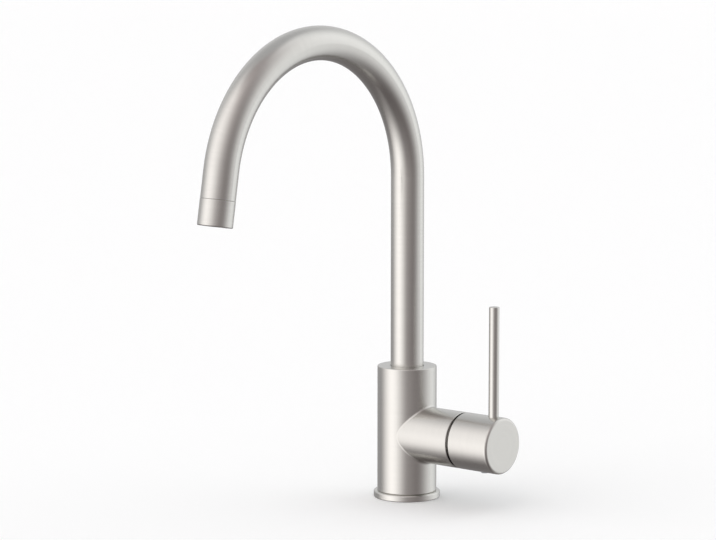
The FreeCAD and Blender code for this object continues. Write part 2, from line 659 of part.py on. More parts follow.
def cartridge_base_pieces():
    """Cartridge base with its pegs, the seals round its ports, and the fixed ceramic disc."""
    base = plate("cartridge_base", "cartridge_radius", "seal_proud", "base_top")
    fixed = plate("fixed_ceramic_disc", "cavity_radius - running_gap", "fixed_disc_foot",
                  "fixed_disc_foot + disc_thick")
    seals = []
    for name, rise, across, bore in (("hot", "inlet_rise", "inlet_pitch / 2", "inlet_port"),
                                     ("cold", "inlet_rise", "-inlet_pitch / 2", "inlet_port"),
                                     ("mixed", "-outlet_drop", "0", "outlet_port")):
        drill(base, f"{name}_base_port", f"{bore} / 2", "base_top + overrun", (rise, across, "0"), UP)
        drill(base, f"{name}_seal_seat", f"{bore} / 2 + seal_width + seat_gap", "seal_height",
              (rise, across, "0"), UP)
        drill(fixed, f"{name}_disc_port", f"{bore} / 2", "disc_thick + 2 * overrun",
              (rise, across, "base_top - overrun"), UP)
        seals.append(port_seal(name, rise, across, bore))
    for side, sign in (("hot", ""), ("cold", "-")):
        peg = base.newObject("PartDesign::AdditiveCylinder", f"{side}_peg")
        on_plane(peg, base, "XY_Plane")
        bind(peg, "Radius", "peg_od / 2")
        bind(peg, "Height", "peg_length + base_top")
        for letter, expression in zip("xyz", ("-peg_drop", f"{sign}peg_spread", "-peg_length")):
            bind(peg, f"AttachmentOffset.Base.{letter}", expression)
    return [in_handle(piece) for piece in (base, fixed, group("port_seals", seals))]


def port_seal(name, rise, across, bore):
    """A square section ring round one port of the cartridge base."""
    seal = doc.addObject("Part::Cut", f"{name}_seal")
    seal.Base = doc.addObject("Part::Cylinder", f"{name}_seal_outside")
    seal.Tool = doc.addObject("Part::Cylinder", f"{name}_seal_inside")
    for part, radius in ((seal.Base, f"{bore} / 2 + seal_width"), (seal.Tool, f"{bore} / 2")):
        bind(part, "Radius", radius)
        bind(part, "Height", "seal_height")
        place(part, UP, 0, x=rise, y=across)
    return seal


def cartridge_cover_pieces():
    """Cartridge shell, the nut that holds the cartridge down, and the dome over the nut."""
    journal = "turret_radius + running_gap"
    shell = turned("cartridge_shell", [
        ("cavity_radius", "base_top"), ("cartridge_radius", "base_top"),
        ("cartridge_radius", "shoulder", "chamfer", "edge_break"), ("neck_radius", "shoulder"),
        ("neck_radius", "neck_top", "chamfer", "edge_break"), (journal, "neck_top"),
        (journal, "flange_top + seat_gap"), ("cavity_radius", "flange_top + seat_gap")])
    nut = turned("cartridge_nut", [
        ("neck_radius + 2 * seat_gap", "shoulder"), ("nut_radius", "shoulder", "chamfer", "edge_break"),
        ("nut_radius", "nut_top", "chamfer", "edge_break"), ("neck_radius + 2 * seat_gap", "nut_top")])
    notch = box_cut(nut, "nut_notch", ("0", "-notch_width / 2", "nut_top - notch_depth"),
                    ("nut_radius + overrun", "notch_width / 2", "nut_top + overrun"))
    repeat(nut, notch, 6)

    def on_sphere(radius, spread):
        return f"pivot + sqrt(({radius}) ^ 2 - ({spread}) ^ 2)"

    under = "dome_radius - dome_wall"
    skirt_inside = "dome_skirt - dome_wall"
    dome = turned("cartridge_dome", [
        (skirt_inside, "nut_top"), ("dome_skirt", "nut_top"),
        ("dome_skirt", on_sphere("dome_radius", "dome_skirt")),
        ("dome_opening", on_sphere("dome_radius", "dome_opening"), "arc", "dome_radius", 1),
        ("dome_opening", on_sphere(under, "dome_opening")),
        (skirt_inside, on_sphere(under, skirt_inside), "arc", under, -1)])
    return [in_handle(piece) for piece in (shell, nut, dome)]


def turret_pieces():
    """Turret that turns in the cartridge shell, its o-ring, and the pin that the stem rocks on."""
    flange = "cavity_radius - 8 * seat_gap"
    groove_foot = "turret_ring_station - 0.7 * turret_ring"
    groove_top = "turret_ring_station + 0.7 * turret_ring"
    turret = turned("cartridge_turret", [
        ("0", "turret_foot"), (flange, "turret_foot"), (flange, "flange_top"),
        ("turret_radius", "flange_top"), ("turret_radius", groove_foot),
        ("turret_ring_floor", groove_foot), ("turret_ring_floor", groove_top),
        ("turret_radius", groove_top), ("turret_radius", "turret_top", "chamfer", "edge_break"),
        ("0", "turret_top")])
    lean = "stem_half / cos(lift_angle) + 3 * seat_gap"
    outward = f"{lean} + (turret_top - pivot) * tan(lift_angle)"
    inward = f"{lean} + stem_half * tan(lift_angle)"
    box_cut(turret, "stem_slot", (f"-({outward})", "-stem_half - seat_gap", "turret_foot - overrun"),
            (inward, "stem_half + seat_gap", "turret_top + overrun"))
    drill(turret, "turret_pin_hole", "pin_od / 2 + running_gap / 2", "2 * (turret_radius + overrun)",
          ("0", "-turret_radius - overrun", "pivot"), BACK)
    ring = round_ring("turret_o_ring", "turret_radius - turret_ring / 2 + running_gap / 2",
                      "turret_ring - running_gap")
    pin = plate("stem_pin", "pin_od / 2", "edge_break - turret_radius", "turret_radius - edge_break")
    place(pin, RIGHT, -90, x="floor_reach + pivot", z="handle_height")
    return [in_handle(turret), in_handle(ring, "turret_ring_station"), pin]


def disc_pieces():
    """Moving ceramic disc and its carrier, half their travel below the axis while the tap is shut."""
    disc = plate("moving_ceramic_disc", "disc_radius", "moving_disc_foot", "carrier_foot")
    drill(disc, "mixing_pocket", "outlet_port / 2 + seal_width", "disc_thick * 0.6 + overrun",
          ("disc_travel - outlet_drop", "0", "moving_disc_foot - overrun"), UP)
    carrier = plate("disc_carrier", "disc_radius", "carrier_foot", "carrier_top")
    grip = "stem_tip / 2 + 1.5 * seat_gap"
    half = "stem_half + 2 * seat_gap"
    box_cut(carrier, "tip_pocket",
            (f"disc_travel / 2 - ({grip})", f"-({half})", f"tip_station - ({grip})"),
            (f"disc_travel / 2 + {grip}", half, "turret_foot"))
    return [in_handle(piece, height="handle_height - disc_travel / 2") for piece in (disc, carrier)]


def lever_stem():
    """Square stem with a thin neck and a round tip, pierced for its pin."""
    body = new_body("lever_stem")
    heel = "pivot - stem_half"
    neck = "stem_neck / 2"
    tip = "stem_tip / 2"
    neck_foot = f"tip_station + sqrt(({tip}) ^ 2 - ({neck}) ^ 2)"
    outline = draw(body, "stem_outline", "XZ_Plane", [
        ("-stem_half", heel), (f"-{neck}", heel), (f"-{neck}", neck_foot),
        ("0", f"tip_station - {tip}", "arc", tip, 1), (neck, neck_foot, "arc", tip, 1), (neck, heel),
        ("stem_half", heel), ("stem_half", "stem_end", "chamfer", "edge_break"),
        ("-stem_half", "stem_end", "chamfer", "edge_break")])
    pad = body.newObject("PartDesign::Pad", "stem_pad")
    pad.Profile = outline
    pad.SideType = "Symmetric"
    bind(pad, "Length", "stem_width")
    doc.recompute()
    drill(body, "stem_pin_hole", "pin_od / 2 + running_gap", "stem_width + 2 * overrun",
          ("0", "-stem_half - overrun", "pivot"), BACK)
    return in_handle(body)


def handle_pieces():
    """Hub, pin lever, and the set screw with its plug on the hub's underside."""
    hub = turned("handle_hub", [
        ("hollow_rim", "hub_foot", "arc", "hollow_radius", -1),
        ("housing_radius", "hub_foot", "chamfer", "rim_bevel"),
        ("housing_radius", "hub_top", "round", "hub_edge"), ("0", "hub_top"),
        ("0", "pivot + hollow_radius")])
    half = "stem_half + running_gap"
    box_cut(hub, "stem_socket", (f"-({half})", f"-({half})", "hub_foot"),
            (half, half, "stem_end + seat_gap"))
    drill(hub, "lever_counterbore", "lever_od / 2 + running_gap", "lever_sink + overrun",
          ("lever_seat", "0", "lever_axis"), RIGHT)
    drill(hub, "lever_thread_hole", "lever_thread / 2 + running_gap", "lever_grip + 2 * overrun",
          ("lever_seat - lever_grip - overrun", "0", "lever_axis"), RIGHT)
    under_hub = ("-housing_radius - overrun", "0", "screw_axis")
    drill(hub, "plug_seat", "plug_od / 2 + running_gap", "plug_depth + overrun", under_hub, RIGHT)
    drill(hub, "screw_hole", "screw_od / 2 + running_gap", "housing_radius + overrun", under_hub, RIGHT)
    lever = turned("pin_lever", [
        ("0", "lever_seat - lever_grip"),
        ("lever_thread / 2", "lever_seat - lever_grip", "chamfer", "edge_break"),
        ("lever_thread / 2", "lever_seat"), ("lever_od / 2", "lever_seat"),
        ("lever_od / 2", "lever_rise", "round", "edge_break"), ("0", "lever_rise")])
    place(lever, UP, 0, x="floor_reach + lever_axis", z="handle_height")
    head = "stem_half + screw_length"
    screw = turned("hub_set_screw", [
        ("0", "stem_half"), ("screw_od / 2", "stem_half", "chamfer", "2 * edge_break"),
        ("screw_od / 2", head, "chamfer", "edge_break"), ("0", head)])
    hexagon(screw, "hub_screw_socket", head)
    seat = "housing_radius - plug_depth"
    crown = "housing_radius + plug_proud"
    plug = turned("set_screw_plug", [
        ("0", seat), ("plug_od / 2", seat, "chamfer", "edge_break"),
        ("plug_od / 2", crown, "round", "edge_break"), ("0", crown)])
    for piece in (screw, plug):
        place(piece, RIGHT, 180, x="floor_reach + screw_axis", z="handle_height")
    return [in_handle(hub), lever, screw, plug]


pieces = [mixer_body(), spout_tube(), lever_stem()]
for make_pieces in (base_pieces, spout_root_pieces, outlet_pieces, cartridge_base_pieces,
                    cartridge_cover_pieces, turret_pieces, disc_pieces, handle_pieces):
    pieces += make_pieces()
doc.recompute()

for thing in doc.Objects:
    if {"Invalid", "Error"} & set(thing.State):
        raise RuntimeError(f"{thing.Label} did not compute")
for piece in pieces:
    if piece.Shape.isNull() or not piece.Shape.isValid():
        raise RuntimeError(f"{piece.Label} has no valid shape")
os.makedirs("parts", exist_ok=True)
for piece in pieces:
    piece.Shape.exportStep(f"parts/{piece.Label}.step")
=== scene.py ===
import json
import math

import bpy
import numpy as np
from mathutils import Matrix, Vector


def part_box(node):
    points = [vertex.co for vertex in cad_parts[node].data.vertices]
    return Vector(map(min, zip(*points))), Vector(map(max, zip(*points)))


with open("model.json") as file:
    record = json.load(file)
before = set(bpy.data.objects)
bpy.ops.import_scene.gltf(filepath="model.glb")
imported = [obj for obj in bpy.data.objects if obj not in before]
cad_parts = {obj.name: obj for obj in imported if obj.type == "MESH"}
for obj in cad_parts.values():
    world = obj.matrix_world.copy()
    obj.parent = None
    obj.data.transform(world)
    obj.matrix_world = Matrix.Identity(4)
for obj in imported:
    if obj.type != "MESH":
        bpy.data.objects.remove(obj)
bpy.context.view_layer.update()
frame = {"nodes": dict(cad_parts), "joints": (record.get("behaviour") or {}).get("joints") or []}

MM = 0.001


def middle(node):
    """The middle of a node's box."""
    low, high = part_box(node)
    return (low + high) / 2


# Places and sizes of the faucet, from the frame.
PIVOT = next(joint["pos_m"] for joint in frame["joints"] if joint["name"] == "lever_lift")
HANDLE_HEIGHT = PIVOT[2]
HOUSING_END, BARREL_RADIUS, BARREL_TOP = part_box("mixer_body")[1]
HOUSING_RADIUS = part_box("handle_hub")[1].z - HANDLE_HEIGHT
TUBE_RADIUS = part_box("spout_tube")[1].x
BASE_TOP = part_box("base_ring")[1].z
CHAMBER_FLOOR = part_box("port_seals")[0].x
NUT_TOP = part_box("cartridge_nut")[1].x

# The spout's bend, which starts below the top of the tube by its own radius and the tube's.
BEND_RADIUS = 104.7 * MM
BEND_ANGLE = math.radians(170)
BEND_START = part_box("spout_tube")[1].z - TUBE_RADIUS - BEND_RADIUS

# Axes of the turned pieces: a point on the axis, and the turn that takes Z to its direction.
QUARTER = math.pi / 2
UPRIGHT = ((0.0, 0.0, 0.0), (0.0, 0.0, 0.0))
HANDLE = ((0.0, 0.0, HANDLE_HEIGHT), (0.0, QUARTER, 0.0))
LEVER = ((middle("pin_lever").x, 0.0, 0.0), (0.0, 0.0, 0.0))
HUB_SCREW = ((middle("hub_set_screw").x, 0.0, 0.0), (0.0, 0.0, 0.0))
STEM_PIN = (PIVOT, (-QUARTER, 0.0, 0.0))
BACK_SCREW = ((0.0, 0.0, middle("spout_retaining_screw").z), (-QUARTER, 0.0, 0.0))
OUTLET = (middle("jet_plate"), (BEND_ANGLE, 0.0, 0.0))


def linear(hex_code):
    """An sRGB hex colour as linear red, green, blue and alpha."""
    levels = [int(hex_code[i:i + 2], 16) / 255 for i in (1, 3, 5)]
    return [v / 12.92 if v <= 0.04045 else ((v + 0.055) / 1.055) ** 2.4 for v in levels] + [1.0]


def add(tree, kind, settings=None, **inputs):
    """Adds a shader node with its settings, and sets or links its inputs, by name or as in_N by number.

    A ramp's stops are pairs of a position and a grey level, eased from one to the next.
    """
    node = tree.nodes.new("ShaderNode" + kind)
    for key, value in (settings or {}).items():
        if key == "stops":
            node.color_ramp.interpolation = "EASE"
            for position, _ in value[1:-1]:
                node.color_ramp.elements.new(position)
            for element, (position, level) in zip(node.color_ramp.elements, value):
                element.position = position
                element.color = (level, level, level, 1.0)
        else:
            setattr(node, key, value)
    for key, value in inputs.items():
        name = int(key[3:]) if key.startswith("in_") else key.replace("_", " ")
        if isinstance(value, bpy.types.NodeSocket):
            tree.links.new(value, node.inputs[name])
        else:
            node.inputs[name].default_value = value
    return node


def new_material(name):
    """An empty material, its node tree and its output node."""
    material = bpy.data.materials.new(name)
    material.use_nodes = True
    tree = material.node_tree
    tree.nodes.clear()
    return material, tree, add(tree, "OutputMaterial")


def turned_place(tree, axis):
    """Where a point lies on a turned piece: its distance along the axis, from the axis, and as an offset."""
    origin, turn = axis
    place = add(tree, "TexCoord").outputs["Object"]
    own = add(tree, "Mapping", {"vector_type": "TEXTURE"}, Vector=place, Location=origin, Rotation=turn)
    split = add(tree, "SeparateXYZ", Vector=own.outputs[0]).outputs
    offset = add(tree, "CombineXYZ", X=split[0], Y=split[1]).outputs[0]
    radius = add(tree, "VectorMath", {"operation": "LENGTH"}, in_0=offset).outputs["Value"]
    return split[2], radius, offset


def bent_place(tree):
    """Where a point lies on the spout: its distance along the tube, and its offset across it.

    Round the bend the distance is the bend radius times the angle at the bend's centre, and below the bend
    the drop is added to that. The offset is the sideways distance and the distance from the bend's centre.
    """
    place = add(tree, "TexCoord").outputs["Object"]
    split = add(tree, "SeparateXYZ", Vector=place).outputs
    ahead = add(tree, "Math", {"operation": "ADD"}, in_0=split[1], in_1=BEND_RADIUS).outputs[0]
    rise = add(tree, "Math", {"operation": "SUBTRACT"}, in_0=split[2], in_1=BEND_START).outputs[0]
    above = add(tree, "Math", {"operation": "MAXIMUM"}, in_0=rise, in_1=0.0).outputs[0]
    below = add(tree, "Math", {"operation": "MINIMUM"}, in_0=rise, in_1=0.0).outputs[0]
    angle = add(tree, "Math", {"operation": "ARCTAN2"}, in_0=above, in_1=ahead).outputs[0]
    along = add(tree, "Math", {"operation": "MULTIPLY_ADD"}, in_0=angle, in_1=BEND_RADIUS, in_2=below)
    spoke = add(tree, "CombineXYZ", X=above, Y=ahead).outputs[0]
    reach = add(tree, "VectorMath", {"operation": "LENGTH"}, in_0=spoke).outputs["Value"]
    offset = add(tree, "CombineXYZ", X=split[0], Y=reach)
    return along.outputs[0], offset.outputs[0]


def fine_lines(tree, along, offset, line, streak):
    """Uneven lines round a piece: noise that changes with every line along it and every streak across it."""
    count = add(tree, "Math", {"operation": "DIVIDE"}, in_0=along, in_1=line).outputs[0]
    step = add(tree, "CombineXYZ", Z=count).outputs[0]
    spread = add(tree, "VectorMath", {"operation": "MULTIPLY_ADD"}, in_0=offset, in_1=[1 / streak] * 3,
                 in_2=step)
    noise = add(tree, "TexNoise", Vector=spread.outputs[0], Scale=1.0, Detail=3.0, Roughness=0.6)
    return noise.outputs[0]


def profile_lines(tree, axis, line, streak):
    """Lines left by a lathe, which follow the distances along and from the axis added, so ends get rings."""
    along, radius, offset = turned_place(tree, axis)
    profile = add(tree, "Math", {"operation": "ADD"}, in_0=along, in_1=radius).outputs[0]
    return fine_lines(tree, profile, offset, line, streak)


def cut_thread(tree, axis, pitch, inside, outside):
    """Height of a screw thread between two radii: a triangle wave of the turns along and round its axis."""
    along, radius, offset = turned_place(tree, axis)
    split = add(tree, "SeparateXYZ", Vector=offset).outputs
    angle = add(tree, "Math", {"operation": "ARCTAN2"}, in_0=split[1], in_1=split[0]).outputs[0]
    part_turn = add(tree, "Math", {"operation": "DIVIDE"}, in_0=angle, in_1=2 * math.pi).outputs[0]
    turns = add(tree, "Math", {"operation": "MULTIPLY_ADD"}, in_0=along, in_1=1 / pitch, in_2=part_turn)
    wave = add(tree, "Math", {"operation": "PINGPONG"}, in_0=turns.outputs[0], in_1=0.5).outputs[0]
    band = add(tree, "Math", {"operation": "COMPARE"}, in_0=radius, in_1=(inside + outside) / 2,
               in_2=(outside - inside) / 2).outputs[0]
    return add(tree, "Math", {"operation": "MULTIPLY"}, in_0=wave, in_1=band).outputs[0]


# Satin nickel. Its brushed lines are about 0.05 mm apart, too fine to show, so they are drawn at 0.5 mm.
NICKEL = "#D1D0CC"
SATIN_ROUGHNESS = 0.25
BRUSH_LINE = 0.5 * MM
BRUSH_STREAK = 25 * MM
BRUSH_DEPTH = 0.01 * MM
BRUSH_GLOSS = 0.012
BRUSH_SHADE = 0.06
# Where the body's plating ends inside: down the spout's socket, and in from the nut's top along the chamber.
# Each bare place reaches past its own wall by a margin.
SOCKET_PLATED = 4.4 * MM
CHAMBER_PLATED = 2 * MM
CHAMBER_WALL = 1.9 * MM
SOCKET_MARGIN = 0.5 * MM
MARGIN = 0.1 * MM
# Bare turned brass and steel, with tool marks 0.3 mm apart.
BRASS = "#D2B26E"
STEEL = "#C9C7C3"
TOOL_LINE = 0.3 * MM
TOOL_STREAK = 40 * MM
TOOL_DEPTH = 0.02 * MM
TOOL_GLOSS = 0.08
TOOL_SHADE = 0.86
# The hub's hollow, painted dark as the shade inside it, and its room round the rim of the housing.
PAINTED_HOLLOW_SHADE = "#3A3734"
HOLLOW_ROOM = 0.5 * MM
# Moulded plastic and rubber, clouded over some millimetres.
CLOUD = 6 * MM
GRAIN_GLOSS = 0.06


def satin_nickel(tree, output, lines, colour=None):
    """Satin nickel plating over brass: soft warm grey metal, brushed in faint lighter and darker lines."""
    gloss = add(tree, "MapRange", Value=lines, To_Min=SATIN_ROUGHNESS - BRUSH_GLOSS,
                To_Max=SATIN_ROUGHNESS + BRUSH_GLOSS).outputs[0]
    bump = add(tree, "Bump", Height=lines, Strength=0.3, Distance=BRUSH_DEPTH).outputs[0]
    shade = add(tree, "MapRange", Value=lines, To_Min=1 + BRUSH_SHADE, To_Max=1 - BRUSH_SHADE).outputs[0]
    tint = add(tree, "Mix", {"data_type": "RGBA", "blend_type": "MULTIPLY"}, in_0=1.0,
               in_6=colour or linear(NICKEL), in_7=shade).outputs[2]
    shader = add(tree, "BsdfPrincipled", Base_Color=tint, Metallic=1.0, Roughness=gloss, Normal=bump)
    tree.links.new(shader.outputs[0], output.inputs[0])


def turned_nickel(name, axis):
    """Satin nickel on a piece that was brushed while it turned about its axis."""
    material, tree, output = new_material(name)
    satin_nickel(tree, output, profile_lines(tree, axis, BRUSH_LINE, BRUSH_STREAK))
    return material


def body_nickel():
    """Satin nickel on the barrel and its side housing, each brushed round its own axis.

    The housing starts where a point is further from the barrel's axis than the barrel's radius. Brass is
    bare in the spout's socket up to near its mouth, on the spigot in the base ring, and in the chamber.
    """
    material, tree, output = new_material("satin_nickel_body")
    height, from_barrel, _ = turned_place(tree, UPRIGHT)
    out, from_handle, _ = turned_place(tree, HANDLE)
    barrel = profile_lines(tree, UPRIGHT, BRUSH_LINE, BRUSH_STREAK)
    housing = profile_lines(tree, HANDLE, BRUSH_LINE, BRUSH_STREAK)
    beyond = add(tree, "Math", {"operation": "GREATER_THAN"}, in_0=from_barrel,
                 in_1=BARREL_RADIUS + MARGIN).outputs[0]
    lines = add(tree, "Mix", in_0=beyond, in_2=barrel, in_3=housing).outputs[0]

    socket = add(tree, "Math", {"operation": "LESS_THAN"}, in_0=from_barrel,
                 in_1=TUBE_RADIUS + SOCKET_MARGIN).outputs[0]
    deep = add(tree, "Math", {"operation": "LESS_THAN"}, in_0=height,
               in_1=BARREL_TOP - SOCKET_PLATED).outputs[0]
    socket = add(tree, "Math", {"operation": "MULTIPLY"}, in_0=socket, in_1=deep).outputs[0]
    spigot = add(tree, "Math", {"operation": "LESS_THAN"}, in_0=height, in_1=BASE_TOP - MARGIN).outputs[0]
    chamber = add(tree, "Math", {"operation": "LESS_THAN"}, in_0=from_handle,
                  in_1=HOUSING_RADIUS - CHAMBER_WALL).outputs[0]
    start, end = CHAMBER_FLOOR - MARGIN, NUT_TOP - CHAMBER_PLATED
    within = add(tree, "Math", {"operation": "COMPARE"}, in_0=out, in_1=(start + end) / 2,
                 in_2=(end - start) / 2).outputs[0]
    chamber = add(tree, "Math", {"operation": "MULTIPLY"}, in_0=chamber, in_1=within).outputs[0]
    bare = add(tree, "Math", {"operation": "MAXIMUM"}, in_0=socket, in_1=spigot).outputs[0]
    bare = add(tree, "Math", {"operation": "MAXIMUM"}, in_0=bare, in_1=chamber).outputs[0]
    colour = add(tree, "Mix", {"data_type": "RGBA"}, in_0=bare, in_6=linear(NICKEL), in_7=linear(BRASS))
    satin_nickel(tree, output, lines, colour.outputs[2])
    return material


def hub_nickel():
    """Satin nickel on the hub, and painted dark shade in its hollow, where shadow falls inside the hub.

    The hollow is a ball about the stem's pivot that has room for the rim of the housing.
    """
    material, tree, output = new_material("satin_nickel_hub_painted_hollow_shade")
    place = add(tree, "TexCoord").outputs["Object"]
    away = add(tree, "VectorMath", {"operation": "DISTANCE"}, in_0=place, in_1=PIVOT).outputs["Value"]
    ball = math.hypot(HOUSING_RADIUS, HOUSING_END - PIVOT[0]) + HOLLOW_ROOM
    hollow = add(tree, "Math", {"operation": "LESS_THAN"}, in_0=away, in_1=ball).outputs[0]
    # Inside the hollow the nickel gives way to a painted dark shade that stands in for the shadow there.
    colour = add(tree, "Mix", {"data_type": "RGBA"}, in_0=hollow, in_6=linear(NICKEL), in_7=linear(PAINTED_HOLLOW_SHADE))
    satin_nickel(tree, output, profile_lines(tree, HANDLE, BRUSH_LINE, BRUSH_STREAK), colour.outputs[2])
    return material


def spout_nickel():
    """Satin nickel on the bent tube, its brushing round the tube all the way along the bend."""
    material, tree, output = new_material("satin_nickel_spout")
    along, offset = bent_place(tree)
    satin_nickel(tree, output, fine_lines(tree, along, offset, BRUSH_LINE, BRUSH_STREAK))
    return material


def turned_metal(name, colour, axis, roughness, thread=None):
    """Bare turned metal: bright tool marks round the axis, and a cut thread where one is given."""
    material, tree, output = new_material(name)
    lines = profile_lines(tree, axis, TOOL_LINE, TOOL_STREAK)
    gloss = add(tree, "MapRange", Value=lines, To_Min=roughness - TOOL_GLOSS,
                To_Max=roughness + TOOL_GLOSS).outputs[0]
    marks = add(tree, "Bump", Height=lines, Strength=0.3, Distance=TOOL_DEPTH).outputs[0]
    if thread:
        pitch, inside, outside = thread
        ridge = cut_thread(tree, axis, pitch, inside, outside)
        marks = add(tree, "Bump", Height=ridge, Strength=1.0, Distance=pitch, Normal=marks).outputs[0]
    dull = [TOOL_SHADE * level for level in linear(colour)[:3]] + [1.0]
    tint = add(tree, "Mix", {"data_type": "RGBA"}, in_0=lines, in_6=linear(colour), in_7=dull).outputs[2]
    shader = add(tree, "BsdfPrincipled", Base_Color=tint, Metallic=1.0, Roughness=gloss, Normal=marks)
    tree.links.new(shader.outputs[0], output.inputs[0])
    return material


def moulded(name, colour, shade, roughness, grain, depth, ior):
    """Moulded or pressed material: colour in faint clouds, and the even grain that its tool leaves."""
    material, tree, output = new_material(name)
    place = add(tree, "TexCoord").outputs["Object"]
    cloud = add(tree, "TexNoise", Vector=place, Scale=1 / CLOUD, Detail=3.0).outputs[0]
    pits = add(tree, "TexNoise", Vector=place, Scale=1 / grain, Detail=2.0).outputs[0]
    tint = add(tree, "Mix", {"data_type": "RGBA"}, in_0=cloud, in_6=linear(colour),
               in_7=linear(shade)).outputs[2]
    gloss = add(tree, "MapRange", Value=pits, To_Min=roughness - GRAIN_GLOSS,
                To_Max=roughness + GRAIN_GLOSS).outputs[0]
    bump = add(tree, "Bump", Height=pits, Strength=0.4, Distance=depth).outputs[0]
    shader = add(tree, "BsdfPrincipled", Base_Color=tint, Roughness=gloss, IOR=ior, Normal=bump)
    tree.links.new(shader.outputs[0], output.inputs[0])
    return material


# Nitrile rubber, moulded: nearly black with a soft dull sheen.
rubber = moulded("moulded_nitrile_rubber", "#1E1E1F", "#272627", roughness=0.58, grain=0.4 * MM,
                 depth=0.03 * MM, ior=1.52)
# Acetal, moulded: milky white and waxy, or mid grey, with a fine spark-eroded grain.
white_acetal = moulded("moulded_white_acetal", "#ECEAE4", "#E3E1DA", roughness=0.38, grain=0.3 * MM,
                       depth=0.01 * MM, ior=1.48)
grey_acetal = moulded("moulded_grey_acetal", "#9C9EA0", "#94979A", roughness=0.42, grain=0.3 * MM,
                      depth=0.01 * MM, ior=1.48)
# Alumina, lapped: cream white, dense and almost mirror flat.
ceramic = moulded("lapped_alumina", "#F0EBE0", "#EAE4D8", roughness=0.14, grain=0.2 * MM,
                  depth=0.002 * MM, ior=1.77)

# Threads: pitch, and the radii that the thread lies between.
OUTLET_THREAD = (1.0 * MM, 9.9 * MM, 10.3 * MM)
NUT_THREAD = (1.5 * MM, 18.9 * MM, 19.3 * MM)
SCREW_THREAD = (0.8 * MM, 2.3 * MM, 2.6 * MM)
finishes = {
    "mixer_body": body_nickel(),
    "base_ring": turned_nickel("satin_nickel_base", UPRIGHT),
    "spout_tube": spout_nickel(),
    "outlet_sleeve": turned_nickel("satin_nickel_outlet", OUTLET),
    "handle_hub": hub_nickel(),
    "cartridge_dome": turned_nickel("satin_nickel_dome", HANDLE),
    "pin_lever": turned_nickel("satin_nickel_lever", LEVER),
    "spout_root": turned_metal("turned_brass_root", BRASS, UPRIGHT, roughness=0.28),
    "outlet_fitting": turned_metal("turned_brass_fitting", BRASS, OUTLET, roughness=0.28,
                                   thread=OUTLET_THREAD),
    "cartridge_nut": turned_metal("turned_brass_nut", BRASS, HANDLE, roughness=0.28, thread=NUT_THREAD),
    "lever_stem": turned_metal("milled_brass_stem", BRASS, HANDLE, roughness=0.3),
    "spout_retaining_screw": turned_metal("steel_back_screw", STEEL, BACK_SCREW, roughness=0.3,
                                          thread=SCREW_THREAD),
    "hub_set_screw": turned_metal("steel_hub_screw", STEEL, HUB_SCREW, roughness=0.3, thread=SCREW_THREAD),
    "stem_pin": turned_metal("steel_stem_pin", STEEL, STEM_PIN, roughness=0.25),
    "aerator_screen": turned_metal("steel_screen", STEEL, OUTLET, roughness=0.35),
}
by_slot = {
    "black_rubber": rubber,
    "white_plastic": white_acetal,
    "grey_plastic": grey_acetal,
    "alumina_ceramic": ceramic,
}
for name, node in frame["nodes"].items():
    slot = node.material_slots[0]
    slot.material = finishes.get(name) or by_slot[slot.name]

# Camera at the photograph's place: where it stands round from the front, how far off and how high, in
# metres, and where it looks.
CAMERA_ROUND = math.radians(39.139)
CAMERA_AWAY = 2.0624
CAMERA_UP = 0.4420
LOOK_ROUND = math.radians(40.1885)
LOOK_UP = math.radians(-7.348)
FOCAL_PIXELS = 2713.6
PHOTO_PIXELS = 716
SENSOR = 36.0
toward_camera = Vector((math.sin(CAMERA_ROUND), -math.cos(CAMERA_ROUND), 0))
to_the_right = Vector((math.cos(CAMERA_ROUND), math.sin(CAMERA_ROUND), 0))
camera_data = bpy.data.cameras.new("photo_view")
camera_data.sensor_width = SENSOR
camera_data.lens = FOCAL_PIXELS / PHOTO_PIXELS * SENSOR
camera = bpy.data.objects.new("photo_view", camera_data)
bpy.context.scene.collection.objects.link(camera)
camera.location = toward_camera * CAMERA_AWAY + Vector((0, 0, CAMERA_UP))
forward = Vector((-math.sin(LOOK_ROUND) * math.cos(LOOK_UP), math.cos(LOOK_ROUND) * math.cos(LOOK_UP),
                  math.sin(LOOK_UP)))
camera.rotation_mode = "QUATERNION"
camera.rotation_quaternion = forward.to_track_quat("-Z", "Y")
bpy.context.scene.camera = camera
bpy.context.scene.view_settings.view_transform = "Standard"

# Studio: a tall soft box on the left, a dimmer one on the right, a pale backdrop and a dim fill all round.
# The boxes are given low down and higher up, by their light at a few bearings, in degrees round from the
# camera. What changes with height is given from -1, straight down, to 1, straight up.
BOXES_LOW = [(-125, 0), (-60, 1.4), (5, 0.1), (40, 0), (115, 0.75), (170, 0)]
BOXES_HIGH = [(-140, 0), (-60, 1.75), (45, 0), (50, 0), (105, 1.2), (165, 0)]
LOW, HIGH = -0.2, 0.4
BOX_HEIGHT = [(-1, 0.1), (-0.35, 1), (0.45, 0.55), (0.85, 0.45), (1, 0)]
BACKDROP = [(-0.5, 0.05), (0.3, 0.5), (1, 0.15)]
FILL = [(-1, 0.14), (0.1, 0.25), (1, 0.4)]
# Tints of the light: the boxes are warmer on the left, and the fill is warmer in front and from below.
LEFT_TINT, RIGHT_TINT = (1.05, 1.0, 0.98, 1.0), (0.96, 1.0, 1.01, 1.0)
WARM_FILL, COOL_FILL = (1.13, 1.0, 0.995, 1.0), (0.99, 1.0, 1.03, 1.0)


